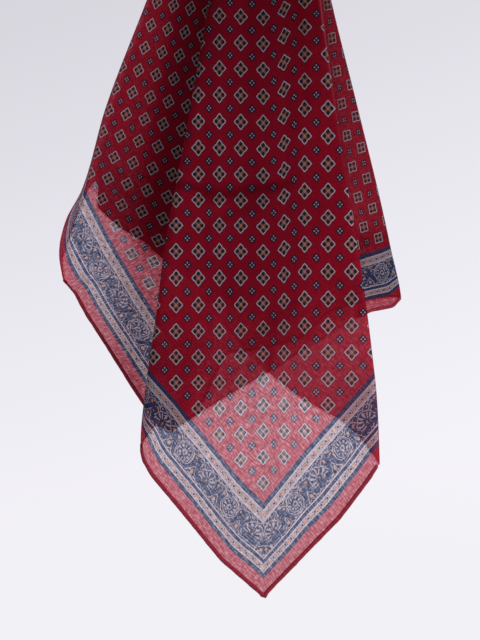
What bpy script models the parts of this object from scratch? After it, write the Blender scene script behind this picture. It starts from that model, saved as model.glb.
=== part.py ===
"""A square cotton scarf, gathered near one corner and hung from there.

The cloth is one square with a rolled hem. Hung up, it drops in a few flat
stretches, each turning into the next at an upright fold. Metres, +Z up, with
the origin in the middle of the gathered neck.
"""

import math
from collections import namedtuple

import bmesh
import bpy
from mathutils import Vector

MM = 0.001
WALL = 1.2  # thickness of the cloth wall, mm
SEAM_GAP = 0.3  # between a stretch and its hem, mm
FOLD_GAP = 1.1  # between the middles of two walls where they meet at a fold, mm
HEM_RADIUS = 1.3  # of the rolled hem, mm
HEM_SIDES = 2  # bevel resolution, which gives a tube of eight sides
NECK_DROP = 3.0  # where every stretch starts, below the middle of the neck, mm
FOLD_REACH = 6.0  # how far from its end a stretch begins to turn into a fold, mm
COLUMNS = 14  # faces across a stretch
ROWS = 15  # faces down a stretch
SEAM_SHARE = 0.007  # the gap behind the front fall, as a share of the back's width
HEM_TRIM = 1.0  # where a hem roll starts and stops, in columns from the end of its stretch

# The upright folds and free edges, as seen from the front: how far each lies
# to the right of the neck at a drop below it, in mm.
Side = namedtuple("Side", "drop across")
SIDES = {
    "left_fold_of_front": [
        Side(3, -10), Side(100, -18), Side(200, -31.5), Side(265, -40.4), Side(338, -53.1),
        Side(391, -63.1), Side(439, -71.6), Side(475, -75.9), Side(524, -83.0),
        Side(558, -87.0), Side(572, -87.6), Side(680, -87.6),
    ],
    "right_fold_of_front": [
        Side(3, 10), Side(100, 17), Side(200, 27.5), Side(265, 35.8), Side(324, 44.3),
        Side(403, 56.3), Side(446, 63.4), Side(510, 71.7), Side(537, 74.4), Side(582, 75.8),
        Side(680, 75.8),
    ],
    "right_silhouette": [
        Side(3, 10), Side(100, 18), Side(190, 31), Side(257, 44.9), Side(324, 63.1),
        Side(392, 81.8), Side(429, 91.0), Side(467, 99.8), Side(600, 100),
    ],
    "left_silhouette": [
        Side(3, -10), Side(90, -25), Side(180, -54), Side(257, -85.0), Side(330, -115.4),
        Side(388, -134.5), Side(410, -146.8), Side(435, -152.5), Side(447, -150.7),
        Side(457, -144.8), Side(600, -144.8),
    ],
    "inner_fold": [
        Side(3, -6), Side(100, -11), Side(200, -22), Side(264, -30.5), Side(366, -36.1),
        Side(469, -43.0), Side(600, -43.0),
    ],
    "inner_free_edge": [Side(3, 6), Side(264, 18), Side(480, 28)],
    "back_free_edge": [Side(3, 8), Side(264, -8), Side(480, -19)],
}

# How deep a stretch lies at its two ends, behind the plane of the front fall.
Depth = namedtuple("Depth", "drop left right")
FRONT_DEPTH = [
    Depth(3, -6, -6), Depth(100, -4.5, -4.5), Depth(265, -2, -2), Depth(400, 0, 0), Depth(680, 0, 0),
]
INNER_DEPTH = [
    Depth(3, -3.6, -3.6), Depth(100, -1, -1), Depth(265, 2.5, 2.5), Depth(400, 5, 5), Depth(600, 5.5, 5.5),
]
INNER_RETURN_DEPTH = [
    Depth(3, -1.2, -1.2), Depth(100, 1.2, 1.2), Depth(265, 5.2, 5.2), Depth(400, 9.5, 9.5),
    Depth(500, 11, 11),
]
RIGHT_DEPTH = [
    Depth(3, 1.2, 1.2), Depth(100, 3.6, 9), Depth(265, 7.5, 26), Depth(400, 9, 53), Depth(467, 9.5, 65),
    Depth(600, 10, 65),
]
BACK_DEPTH = [
    Depth(3, 3.6, 3.6), Depth(100, 13, 14), Depth(265, 31, 34), Depth(400, 58, 62), Depth(457, 71, 74),
    Depth(600, 74, 76),
]
LEFT_RETURN_DEPTH = [
    Depth(3, 6, 6), Depth(100, 18, 19), Depth(265, 38, 42), Depth(400, 69.5, 71.5), Depth(457, 83, 84),
    Depth(480, 84, 85),
]

# The lower edge of each stretch: its drop at a fraction of the way across.
Hem = namedtuple("Hem", "across drop")
FRONT_HEM = [
    Hem(0, 571), Hem(0.04, 587), Hem(0.17, 613), Hem(0.34, 647), Hem(0.494, 669),
    Hem(0.52, 672), Hem(0.545, 668), Hem(0.72, 638), Hem(0.84, 618), Hem(0.96, 592), Hem(1, 582),
]
RIGHT_HEM = [
    Hem(0, 571), Hem(0.10, 563), Hem(0.29, 539), Hem(0.46, 520), Hem(0.58, 506), Hem(0.78, 484),
    Hem(0.88, 474.5), Hem(1, 467),
]
LEFT_HEM = [
    Hem(0, 457), Hem(0.045, 474.7), Hem(0.103, 496), Hem(0.179, 527), Hem(0.221, 543.5), Hem(0.298, 566),
    Hem(0.384, 553),
]
BACK_HEM = [
    Hem(0.384, 553), Hem(0.433, 527), Hem(0.468, 508), Hem(0.581, 505), Hem(0.695, 500.6),
    Hem(0.786, 486), Hem(0.897, 473), Hem(1, 467),
]
INNER_HEM = [
    Hem(0, 469), Hem(0.21, 500), Hem(0.373, 520), Hem(0.565, 538), Hem(0.78, 552), Hem(0.89, 564),
    Hem(1, 582),
]
INNER_RETURN_HEM = [Hem(0, 469), Hem(0.5, 479), Hem(1, 470)]
LEFT_RETURN_HEM = [
    Hem(0, 457), Hem(0.07, 432), Hem(0.12, 411), Hem(0.17, 403), Hem(0.23, 407), Hem(0.3, 414),
    Hem(0.48, 430), Hem(0.76, 460), Hem(1, 472),
]

# The largest creases, each a soft trough (or ridge, where its depth is below
# zero) along a straight line on the cloth, in mm across and down.
Crease = namedtuple("Crease", "stretch from_across from_drop to_across to_drop depth width")
CREASES = [
    Crease("front", 9, 150, 11, 400, 1.2, 8),
    Crease("front", -34, 398, 4, 392, 1.1, 5),
    Crease("front", -28, 150, -38, 420, -1.0, 9),
    Crease("front", -52, 440, -10, 380, 0.9, 9),
    Crease("front", 36, 380, 60, 500, -1.1, 11),
    Crease("front", -10, 480, 20, 560, -1.2, 12),
    Crease("left", -72, 285, -104, 440, 2.2, 9),
    Crease("left", -30, 140, -70, 520, -3.0, 10),
    Crease("left", -122, 412, -98, 470, 1.6, 8),
    Crease("right", 32, 265, 72, 450, 1.8, 8),
    Crease("back", 10, 200, 28, 470, -3.0, 11),
    Crease("back", -6, 180, -10, 500, 4.0, 12),
    Crease("left_return", -48, 260, -84, 420, -2.4, 11),
]

# The gathered neck and the corner that stands above it: half widths of its
# outline at a height above the neck, how deep its pleats are, and its lean.
Ring = namedtuple("Ring", "height half_width half_depth pleat lean")
TOP_RINGS = [
    Ring(-2.7, 10.5, 6.8, 0.6, 0), Ring(3, 9.2, 7.2, 0.8, 0), Ring(9, 9.4, 7.6, 1.0, 0),
    Ring(17, 12.5, 9.2, 1.6, 0.6), Ring(28, 18, 12, 2.6, 2.0), Ring(40, 23, 14.5, 3.6, 4.5),
    Ring(52, 26, 16, 4.4, 8.0),
]
TOP_PLEATS = 9
TOP_POINTS = 54  # points round a ring of the gathered corner
TOP_ROWS = 8  # faces up the gathered corner
CORNER_RISE = 16.0  # how far the corner's own point stands above the rest of the rim, mm

CLOTH_RED = (0.27, 0.022, 0.032)
HEM_CRIMSON = (0.15, 0.012, 0.022)


def clear_scene():
    for old in list(bpy.data.objects):
        bpy.data.objects.remove(old, do_unlink=True)


def curve_through(rows, at, column):
    """A smooth curve through a table's rows, read at a value of its first column."""
    keys = [row[0] for row in rows]
    values = [getattr(row, column) for row in rows]
    if at <= keys[0]:
        return values[0]
    if at >= keys[-1]:
        return values[-1]
    i = next(k for k in range(len(keys) - 1) if at <= keys[k + 1])
    span = keys[i + 1] - keys[i]
    t = (at - keys[i]) / span
    rise = (values[i + 1] - values[i]) / span
    before = (values[i] - values[i - 1]) / (keys[i] - keys[i - 1]) if i > 0 else rise
    after = (values[i + 2] - values[i + 1]) / (keys[i + 2] - keys[i + 1]) if i + 2 < len(keys) else rise
    # A slope of nought where the rows turn keeps the curve from swinging past them.
    start = 0.5 * (before + rise) if before * rise > 0 else 0.0
    end = 0.5 * (rise + after) if rise * after > 0 else 0.0
    return (
        (2 * t**3 - 3 * t**2 + 1) * values[i] + (t**3 - 2 * t**2 + t) * span * start
        + (3 * t**2 - 2 * t**3) * values[i + 1] + (t**3 - t**2) * span * end
    )


def straight_through(rows, at, column):
    """Straight runs between a table's rows, so that a corner stays a corner."""
    for first, second in zip(rows, rows[1:]):
        if at <= second[0]:
            share = (at - first[0]) / (second[0] - first[0])
            return getattr(first, column) + share * (getattr(second, column) - getattr(first, column))
    return getattr(rows[-1], column)


def crease_depth(stretch, across, drop):
    total = 0.0
    for crease in CREASES:
        if crease.stretch != stretch:
            continue
        run = Vector((crease.to_across - crease.from_across, crease.to_drop - crease.from_drop))
        reach = Vector((across - crease.from_across, drop - crease.from_drop))
        along = reach.dot(run) / run.length_squared
        aside = (reach - along * run).length / crease.width
        beyond = max(0.0, -along, along - 1) * run.length / (2.5 * crease.width)
        total += crease.depth * math.exp(-aside**2 - beyond**2)
    return total


class Stretch:
    """One stretch of the cloth between two upright folds or free edges."""

    def __init__(
        self, name, sides, depth, hem, left_fold=None, right_fold=None, span=(0.0, 1.0), corner_shift=0.0
    ):
        self.name = name
        self.left = SIDES[sides[0]]
        self.right = SIDES[sides[1]]
        self.depth = depth
        self.hem = hem
        # Depth tables of the stretches beyond the two folds, or None at a free edge.
        self.left_fold = left_fold
        self.right_fold = right_fold
        # The share of the layer that this stretch takes.
        self.span = span
        # How far to the right of the middle column the hem's corner lies.
        self.corner_shift = corner_shift

    def across(self, share, drop):
        start = curve_through(self.left, drop, "across")
        end = curve_through(self.right, drop, "across")
        return start + share * (end - start)

    def turn(self, from_end, width):
        """How far the cloth has turned towards a fold, from 0 on the flat to 1 at the fold."""
        reach = min(FOLD_REACH, 0.22 * width)
        if from_end >= reach:
            return 0.0
        return 1 - math.sqrt(max(0.0, 1 - (1 - from_end / reach) ** 2))

    def point(self, share, drop):
        across = self.across(share, drop)
        width = self.across(1, drop) - self.across(0, drop)
        left = curve_through(self.depth, drop, "left")
        right = curve_through(self.depth, drop, "right")
        depth = left + share * (right - left) + crease_depth(self.name, across, drop)
        if self.left_fold:
            behind = curve_through(self.left_fold, drop, "left")
            half_gap = math.copysign(0.5 * FOLD_GAP, behind - left)
            depth += self.turn(share * width, width) * (0.5 * (behind - left) - half_gap)
        if self.right_fold:
            behind = curve_through(self.right_fold, drop, "right")
            half_gap = math.copysign(0.5 * FOLD_GAP, behind - right)
            depth += self.turn((1 - share) * width, width) * (0.5 * (behind - right) - half_gap)
        return Vector((across, depth, -drop)) * MM

    def share(self, column):
        """Columns stand closer together towards the folds, and one meets the corner of the hem."""
        fraction = column / COLUMNS
        first, last = self.span
        if first > 0.0:
            return first + (1 - first) * math.sin(0.5 * math.pi * fraction)
        if last < 1.0:
            return last * (1 - math.cos(0.5 * math.pi * fraction))
        even = 0.5 - 0.5 * math.cos(math.pi * fraction)
        return even + self.corner_shift * 4 * even * (1 - even)

    def hem_point(self, column):
        share = self.share(column)
        return self.point(share, straight_through(self.hem, share, "drop"))

    def out_of_cloth(self, column):
        """Which way the hem faces at a column: in the cloth, square to the hem."""
        here = self.hem_point(column)
        ahead = self.hem_point(min(COLUMNS, column + 0.5))
        run = (ahead - self.hem_point(max(0, column - 0.5))).normalized()
        share = self.share(column)
        above = self.point(share, straight_through(self.hem, share, "drop") - 5)
        down = (here - above).normalized()
        return (down - down.dot(run) * run).normalized()


def add_to_scene(obj, material, collection):
    obj.data.materials.append(material)
    collection.objects.link(obj)
    return obj


def cloth_panel(stretch, material, collection):
    """The wall of one stretch, which stops short of its hem roll."""
    bm = bmesh.new()
    bmesh.ops.create_grid(bm, x_segments=COLUMNS, y_segments=ROWS, size=0.5)
    inset = (2 * HEM_RADIUS + SEAM_GAP) * MM
    for vert in bm.verts:
        column = (vert.co.x + 0.5) * COLUMNS
        down_share = 0.5 - vert.co.y
        share = stretch.share(column)
        bottom = straight_through(stretch.hem, share, "drop")
        on_cloth = stretch.point(share, NECK_DROP + down_share * (bottom - NECK_DROP))
        vert.co = on_cloth - stretch.out_of_cloth(column) * inset * down_share**4
    bmesh.ops.recalc_face_normals(bm, faces=bm.faces)
    mesh = bpy.data.meshes.new(stretch.name + "_fall")
    bm.to_mesh(mesh)
    bm.free()
    mesh.shade_smooth()
    obj = add_to_scene(bpy.data.objects.new(stretch.name + "_fall", mesh), material, collection)
    wall = obj.modifiers.new("wall", "SOLIDIFY")
    wall.thickness = WALL * MM
    wall.offset = 0
    return obj


def rolled_hem(stretch, material, collection):
    """The roll along the lower edge of one stretch, from just inside one end to the other."""
    curve = bpy.data.curves.new(stretch.name + "_hem", "CURVE")
    curve.dimensions = "3D"
    curve.bevel_depth = HEM_RADIUS * MM
    curve.bevel_resolution = HEM_SIDES
    curve.use_fill_caps = True
    columns = [HEM_TRIM, *range(2, COLUMNS - 1), COLUMNS - HEM_TRIM]
    spline = curve.splines.new("POLY")
    spline.points.add(len(columns) - 1)
    for column, point in zip(columns, spline.points):
        middle = stretch.hem_point(column) - stretch.out_of_cloth(column) * HEM_RADIUS * MM
        point.co = (*middle, 1)
    return add_to_scene(bpy.data.objects.new(stretch.name + "_hem", curve), material, collection)


def gathered_corner(material, collection):
    """The neck where the cloth is held, and the fourth corner above it."""
    bm = bmesh.new()
    bmesh.ops.create_cone(bm, cap_ends=False, segments=TOP_POINTS, radius1=1, radius2=1, depth=1)
    uprights = [e for e in bm.edges if abs(e.verts[0].co.z - e.verts[1].co.z) > 0.5]
    bmesh.ops.subdivide_edges(bm, edges=uprights, cuts=TOP_ROWS - 1, use_grid_fill=True)
    for vert in bm.verts:
        share = vert.co.z + 0.5
        angle = math.atan2(vert.co.y, vert.co.x)
        bottom, top = TOP_RINGS[0].height, TOP_RINGS[-1].height
        height = bottom + share * (top - bottom)
        pleat = curve_through(TOP_RINGS, height, "pleat")
        wave = pleat * math.sin(TOP_PLEATS * angle + 0.4) + 0.35 * pleat * math.sin(4 * angle + 1.1)
        wide = curve_through(TOP_RINGS, height, "half_width") + wave
        deep = curve_through(TOP_RINGS, height, "half_depth") + wave
        lean = curve_through(TOP_RINGS, height, "lean")
        rise = CORNER_RISE * share**3 * math.exp(-((angle - 0.5) / 0.9) ** 2)
        vert.co = Vector((wide * math.cos(angle) + lean, deep * math.sin(angle), height + rise)) * MM
    bmesh.ops.recalc_face_normals(bm, faces=bm.faces)
    mesh = bpy.data.meshes.new("gathered_corner")
    bm.to_mesh(mesh)
    bm.free()
    mesh.shade_smooth()
    obj = add_to_scene(bpy.data.objects.new("gathered_corner", mesh), material, collection)
    wall = obj.modifiers.new("wall", "SOLIDIFY")
    wall.thickness = WALL * MM
    wall.offset = 0
    return obj


def cotton(name, colour):
    material = bpy.data.materials.new(name)
    material.use_nodes = True
    shader = material.node_tree.nodes["Principled BSDF"]
    shader.inputs["Base Color"].default_value = (*colour, 1)
    shader.inputs["Roughness"].default_value = 0.9
    shader.inputs["Metallic"].default_value = 0.0
    return material


def main():
    clear_scene()
    collection = bpy.data.collections.new("cotton_scarf")
    bpy.context.scene.collection.children.link(collection)
    cloth = cotton("printed_cotton", CLOTH_RED)
    roll = cotton("hem_cotton", HEM_CRIMSON)
    rear_hem = LEFT_HEM + BACK_HEM[1:]
    seam = BACK_HEM[0].across
    front_sides = ("left_fold_of_front", "right_fold_of_front")
    rear_sides = ("left_silhouette", "right_silhouette")
    stretches = [
        Stretch("front", front_sides, FRONT_DEPTH, FRONT_HEM, RIGHT_DEPTH, INNER_DEPTH, corner_shift=0.02),
        Stretch(
            "inner", ("inner_fold", "right_fold_of_front"), INNER_DEPTH, INNER_HEM, INNER_RETURN_DEPTH,
            FRONT_DEPTH,
        ),
        Stretch(
            "inner_return", ("inner_fold", "inner_free_edge"), INNER_RETURN_DEPTH, INNER_RETURN_HEM,
            INNER_DEPTH,
        ),
        Stretch(
            "right", ("left_fold_of_front", "right_silhouette"), RIGHT_DEPTH, RIGHT_HEM, FRONT_DEPTH,
            BACK_DEPTH,
        ),
        Stretch("left", rear_sides, BACK_DEPTH, rear_hem, left_fold=LEFT_RETURN_DEPTH, span=(0.0, seam)),
        Stretch(
            "back", rear_sides, BACK_DEPTH, rear_hem, right_fold=RIGHT_DEPTH, span=(seam + SEAM_SHARE, 1.0)
        ),
        Stretch(
            "left_return", ("left_silhouette", "back_free_edge"), LEFT_RETURN_DEPTH, LEFT_RETURN_HEM,
            BACK_DEPTH,
        ),
    ]
    for stretch in stretches:
        cloth_panel(stretch, cloth, collection)
        rolled_hem(stretch, roll, collection)
    gathered_corner(cloth, collection)


main()
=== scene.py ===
import functools
import math

import bmesh
import bpy
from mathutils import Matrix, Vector, noise


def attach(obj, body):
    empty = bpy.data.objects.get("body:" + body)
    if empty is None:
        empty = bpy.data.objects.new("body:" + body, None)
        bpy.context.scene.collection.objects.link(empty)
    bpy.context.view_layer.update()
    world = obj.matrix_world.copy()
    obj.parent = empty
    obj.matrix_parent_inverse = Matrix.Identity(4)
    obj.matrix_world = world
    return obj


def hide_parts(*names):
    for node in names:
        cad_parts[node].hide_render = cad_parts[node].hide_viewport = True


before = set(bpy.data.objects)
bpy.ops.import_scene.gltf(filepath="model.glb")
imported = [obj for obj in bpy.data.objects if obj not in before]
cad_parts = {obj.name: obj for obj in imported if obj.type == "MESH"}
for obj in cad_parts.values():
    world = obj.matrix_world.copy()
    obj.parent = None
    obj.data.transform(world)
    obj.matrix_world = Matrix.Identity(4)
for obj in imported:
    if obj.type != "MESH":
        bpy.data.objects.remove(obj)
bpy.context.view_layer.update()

mm = 0.001
repeat = 11.27  # one repeat of the small print, in mm
clothRepeats = 46.0  # repeats along one side of the square cloth
print("frame loaded")


# camera: level, at the middle of the hang, in front of the flat front fall
viewPoint = {
    "place": (-0.01904, -0.850, -0.4828),
    "frameHeight": 0.4352,  # metres seen at the front fall
    "sensor": 24.0,
}


def placeObject(name, data, at=(0, 0, 0)):
    holder = bpy.data.objects.new(name, data)
    holder.location = at
    bpy.context.scene.collection.objects.link(holder)
    return holder


def addCamera(at):
    camera = bpy.data.cameras.new("photoCamera")
    camera.sensor_fit = "VERTICAL"
    camera.sensor_height = at["sensor"]
    camera.lens = at["sensor"] * abs(at["place"][1]) / at["frameHeight"]
    camera.clip_start = 0.01
    holder = placeObject("photoCamera", camera, at["place"])
    holder.rotation_euler = (math.radians(90), 0, 0)
    bpy.context.scene.camera = holder


addCamera(viewPoint)
print("camera placed")


def smoothThrough(rows, at, column=1):
    # a smooth curve through the rows of a table, level where the rows turn
    if at <= rows[0][0]:
        return rows[0][column]
    if at >= rows[-1][0]:
        return rows[-1][column]
    i = next(k for k in range(len(rows) - 1) if at <= rows[k + 1][0])

    def slope(k):
        return (rows[k + 1][column] - rows[k][column]) / (rows[k + 1][0] - rows[k][0])

    rise = slope(i)
    before = slope(i - 1) if i > 0 else rise
    after = slope(i + 1) if i + 2 < len(rows) else rise
    gap = rows[i + 1][0] - rows[i][0]
    start = 0.5 * (before + rise) if before * rise > 0 else 0.0
    end = 0.5 * (rise + after) if rise * after > 0 else 0.0
    t = (at - rows[i][0]) / gap
    return (
        (2 * t**3 - 3 * t**2 + 1) * rows[i][column] + (t**3 - 2 * t**2 + t) * gap * start
        + (3 * t**2 - 2 * t**3) * rows[i + 1][column] + (t**3 - t**2) * gap * end
    )


def straightThrough(rows, at, column=1):
    # straight runs through the rows of a table, carried on past both ends
    i = 0
    while i < len(rows) - 2 and at > rows[i + 1][0]:
        i += 1
    share = (at - rows[i][0]) / (rows[i + 1][0] - rows[i][0])
    return rows[i][column] + share * (rows[i + 1][column] - rows[i][column])


def everyMm(rows, column=1):
    return [smoothThrough(rows, at, column) for at in range(720)]


def readEveryMm(values, at):
    whole = min(718, max(0, int(at)))
    return values[whole] + (at - whole) * (values[whole + 1] - values[whole])


# the upright folds and free edges: mm below the hold, mm to the right of it
foldLines = {
    "leftOfFront": [
        (3, -10), (100, -18), (200, -31.5), (265, -40.4), (338, -53.1), (391, -63.1), (439, -71.6),
        (475, -75.9), (524, -83), (558, -87), (572, -87.6), (680, -87.6),
    ],
    "rightOfFront": [
        (3, 10), (100, 17), (200, 27.5), (265, 35.8), (324, 44.3), (403, 56.3), (446, 63.4),
        (510, 71.7), (537, 74.4), (582, 75.8), (680, 75.8),
    ],
    "rightOutline": [
        (3, 10), (100, 18), (190, 31), (257, 44.9), (324, 63.1), (392, 81.8), (429, 91),
        (467, 99.8), (600, 100),
    ],
    "leftOutline": [
        (3, -10), (90, -25), (180, -54), (257, -85), (330, -115.4), (388, -134.5), (410, -146.8),
        (435, -152.5), (447, -151.2), (455, -149), (458.5, -145.6), (461, -144.8), (600, -144.8),
    ],
    "innerFold": [(3, -6), (100, -11), (200, -22), (264, -30.5), (366, -36.1), (469, -43), (600, -43)],
    "innerEdge": [(3, 6), (264, 18), (480, 28)],
    "rearEdge": [(3, 8), (264, -8), (480, -19)],
}
foldLines = {name: everyMm(rows) for name, rows in foldLines.items()}

# how deep each stretch lies: mm below the hold, mm back at its left side and at its right side
depths = {
    "front": [(3, -6, -6), (100, -4.5, -4.5), (265, -2, -2), (400, 0, 0), (680, 0, 0)],
    "inner": [(3, -3.6, -3.6), (100, -1, -1), (265, 2.5, 2.5), (400, 5, 5), (600, 5.5, 5.5)],
    "innerReturn": [(3, -1.2, -1.2), (100, 1.2, 1.2), (265, 5.2, 5.2), (400, 9.5, 9.5), (500, 11, 11)],
    "right": [(3, 1.2, 1.2), (100, 3.6, 9), (265, 7.5, 26), (400, 9, 53), (467, 9.5, 65), (600, 10, 65)],
    "rear": [(3, 3.6, 3.6), (100, 13, 14), (265, 31, 34), (400, 58, 62), (457, 71, 74), (600, 74, 76)],
    "leftReturn": [
        (3, 6, 6), (100, 18, 19), (265, 38, 42), (400, 69.5, 71.5), (457, 83, 84), (480, 84, 85),
    ],
}
depths = {name: (everyMm(rows), everyMm(rows, 2)) for name, rows in depths.items()}

# the lower edges: share of the way across, mm below the hold
hems = {
    "front": [
        (0, 569), (0.013, 579), (0.045, 588.5), (0.17, 613), (0.34, 647), (0.503, 670),
        (0.52, 674), (0.537, 669), (0.72, 638), (0.84, 618), (0.96, 592), (1, 582),
    ],
    "right": [
        (0, 571), (0.05, 557), (0.075, 558.5), (0.1, 562.5), (0.29, 539), (0.46, 520),
        (0.58, 506), (0.78, 484), (0.86, 477), (0.955, 474), (1, 467),
    ],
    "rear": [
        (0, 457), (0.045, 478.5), (0.103, 501), (0.179, 531), (0.221, 546.5), (0.298, 567),
        (0.384, 553), (0.433, 527), (0.468, 508), (0.581, 505), (0.695, 497), (0.786, 477),
        (0.897, 469.5), (0.965, 467), (1, 467),
    ],
    "inner": [
        (0, 469), (0.21, 500), (0.373, 520), (0.565, 538), (0.78, 552), (0.89, 564), (1, 582),
    ],
    "innerReturn": [(0, 469), (0.5, 479), (1, 470)],
    "leftReturn": [
        (0, 457), (0.011, 452), (0.0165, 443), (0.0195, 432), (0.021, 418), (0.024, 409),
        (0.03, 398), (0.042, 386), (0.07, 381), (0.085, 389), (0.13, 400), (0.2, 406),
        (0.31, 416), (0.455, 426), (0.545, 437), (0.76, 460), (1, 472),
    ],
}

# soft creases: across and down of each end, depth (below nought a ridge) and width, all in mm
creases = {
    "front": [
        (9, 150, 11, 400, 1.2, 8), (-34, 398, 4, 392, 1.1, 5), (-28, 150, -38, 420, -1.0, 9),
        (-52, 440, -10, 380, 0.9, 9), (36, 380, 60, 500, -1.1, 11), (-10, 480, 20, 560, -1.2, 12),
        (-60, 391, -30, 397, 0.9, 3.5), (-46, 421, -6, 402, 0.5, 4), (-14, 500, 10, 478, 0.5, 5),
        (20, 250, 26, 330, 0.5, 5), (-20, 560, -48, 600, 0.6, 7), (30, 560, 52, 590, 0.5, 6),
    ],
    "rear": [
        (-72, 285, -104, 440, 2.2, 9), (-30, 140, -70, 520, -3.0, 10), (-122, 412, -98, 470, 1.6, 8),
        (10, 200, 28, 470, -3.0, 11), (-6, 180, -10, 500, 4.0, 12), (-120, 441, -100, 435, 1.1, 3),
        (-84, 300, -92, 400, -0.8, 5), (-145, 459.5, -134, 455.5, 1.0, 2.5),
    ],
    "right": [(32, 265, 72, 450, 1.8, 8), (70, 428, 69, 446, 0.7, 3)],
    "leftReturn": [(-48, 260, -84, 420, -2.4, 11)],
}

# one continuous cloth, from its inner free edge to its rear free edge, stretch by stretch:
# name, left and right side, share of the way across at its start and end, the stretches that it
# turns into at its left and right side, columns
stretches = [
    ("innerReturn", ("innerFold", "innerEdge"), (1, 0), ("inner", None), 26),
    ("inner", ("innerFold", "rightOfFront"), (0, 1), ("innerReturn", "front"), 50),
    ("front", ("leftOfFront", "rightOfFront"), (1, 0), ("right", "inner"), 104),
    ("right", ("leftOfFront", "rightOutline"), (0, 1), ("front", "rear"), 78),
    ("rear", ("leftOutline", "rightOutline"), (1, 0), ("leftReturn", "right"), 110),
    ("leftReturn", ("leftOutline", "rearEdge"), (0, 1), ("rear", None), 56),
]
stretches = [dict(zip(("name", "sides", "run", "beside", "columns"), row)) for row in stretches]
fall = {
    "rows": 196,
    "neckDrop": 3.0,
    "foldReach": 6.0,  # how far from a fold the cloth starts to turn, mm
    "foldShare": 0.22,  # and at most this share of the width
    "rollRadius": 1.15,
    "calmReach": 9.0,  # the cloth lies evenly this near a fold, mm
    # soft unevenness: height in mm, size across and down in mm, seed
    "ripples": [(0.605, 30, 46, 0), (0.33, 11, 17, 5), (0.132, 4.5, 7, 9)],
    "hemLook": 0.012,  # the way along the hem is read this share to both sides
}
sharpCrease = {
    "widest": 6.0,  # mm
    "narrowing": 0.75,  # its shade is narrower than its hollow
    "loss": 0.45,  # share of the light it loses
}


def foldAt(name, drop):
    return readEveryMm(foldLines[name], drop)


def sideAt(stretch, side, drop):
    return foldAt(stretch["sides"][side], drop)


def acrossAt(stretch, share, drop):
    start = sideAt(stretch, 0, drop)
    return start + share * (sideAt(stretch, 1, drop) - start)


def creaseDepth(name, across, drop, narrowing=1.0, onlySharp=False):
    total = 0.0
    for fromAcross, fromDrop, toAcross, toDrop, deep, wide in creases.get(name, ()):
        if onlySharp and (wide >= sharpCrease["widest"] or deep < 0):
            continue
        run = Vector((toAcross - fromAcross, toDrop - fromDrop))
        reach = Vector((across - fromAcross, drop - fromDrop))
        along = reach.dot(run) / run.length_squared
        aside = (reach - along * run).length / (narrowing * wide)
        beyond = max(0.0, -along, along - 1) * run.length / (2.5 * wide)
        total += deep * math.exp(-aside**2 - beyond**2)
    return total


def turnTowards(fromEnd, width):
    # 0 out on the flat, 1 on the fold
    reach = min(fall["foldReach"], fall["foldShare"] * width)
    if fromEnd >= reach:
        return 0.0
    return 1 - math.sqrt(max(0.0, 1 - (1 - fromEnd / reach) ** 2))


def clothPoint(stretch, share, drop):
    name = stretch["name"]
    start = sideAt(stretch, 0, drop)
    width = sideAt(stretch, 1, drop) - start
    across = start + share * width
    left, right = (readEveryMm(values, drop) for values in depths[name])
    deep = left + share * (right - left) + creaseDepth(name, across, drop)
    calm = min(1.0, share * width / fall["calmReach"], (1 - share) * width / fall["calmReach"])
    calm *= min(1.0, 0.35 + drop / 400)
    for high, wide, tall, seed in fall["ripples"]:
        deep += calm * high * noise.noise(Vector((across / wide, drop / tall, 40.0 * len(name) + seed)))
    for side, own, fromEnd in ((0, left, share * width), (1, right, (1 - share) * width)):
        if stretch["beside"][side]:
            behind = readEveryMm(depths[stretch["beside"][side]][side], drop)
            deep += turnTowards(fromEnd, width) * 0.5 * (behind - own)
    return Vector((across, deep, -drop)) * mm


def hemDrop(stretch, share):
    return straightThrough(hems[stretch["name"]], share)


def hemFrame(stretch, share):
    # a point on the lower edge, the way along it, and the way out of the cloth there
    here = clothPoint(stretch, share, hemDrop(stretch, share))
    low = max(0.0, share - fall["hemLook"])
    high = min(1.0, share + fall["hemLook"])
    along = clothPoint(stretch, high, hemDrop(stretch, high))
    along = (along - clothPoint(stretch, low, hemDrop(stretch, low))).normalized()
    down = here - clothPoint(stretch, share, hemDrop(stretch, share) - 5)
    out = (down - down.dot(along) * along).normalized()
    return here, along, out


# how the threads lie, in repeats of the print counted from a corner of the square cloth
threads = {
    # on the front fall: mm across to the difference, and mm down to the sum, of the two counts
    "difference": [
        (-78.1, -10), (-62.5, -8), (-47.3, -6), (-33, -4), (-18.6, -2), (-3.2, 0), (10.9, 2),
        (24.8, 4), (40.8, 6), (56.8, 8), (72.4, 10),
    ],
    "sum": [(277.6, 45), (313.1, 41), (384.7, 33), (454.2, 25), (522.9, 17), (593.6, 9), (672, 0.1)],
    "liftRight": [(277, 11.6), (331, 10.2), (366, 8.6), (402, 6.6), (437, 5.2), (471, 2.7), (523, 0)],
    "liftLeft": [(430, 1.0), (454, 0), (471, -1.2), (506, -2.3), (523, -2.5)],
    # on the rear and right falls: constant, down, down squared, across, across x down, across
    # squared, per 100 mm
    "rearFromSide": (30.025, -2.982, -0.272, 10.984, -0.884, -0.402),
    "rearFromHem": (37.51, -8.766, 0.386, -11.795, 2.265, 0.844),
    "rearReach": -0.55,  # past here the rear threads run straight on
    "rightFromHem": (41.23, -7.499, -0.141, -1.994, -0.244, 0),
    "rightFromSide": (25.064, -0.403, -0.206, 12.855, -0.47, 0),
    # where a border curls in along a fold: repeats from the hem on the fold itself, how fast they
    # rise with each mm in from it, and how far down this ends
    "curlEdge": -0.33,
    "curl": 0.14,
    "curlMore": 0.0075,
    "curlEnd": 434,
    "frontCurlEdge": 0.45,
    "frontCurl": 0.2,
    "frontCurlEnd": 566,
    "borderReach": 4.1,  # how far from a hem the print follows that hem
}


def easeIn(value):
    value = min(1.0, max(0.0, value))
    return value * value * (3 - 2 * value)


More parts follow.
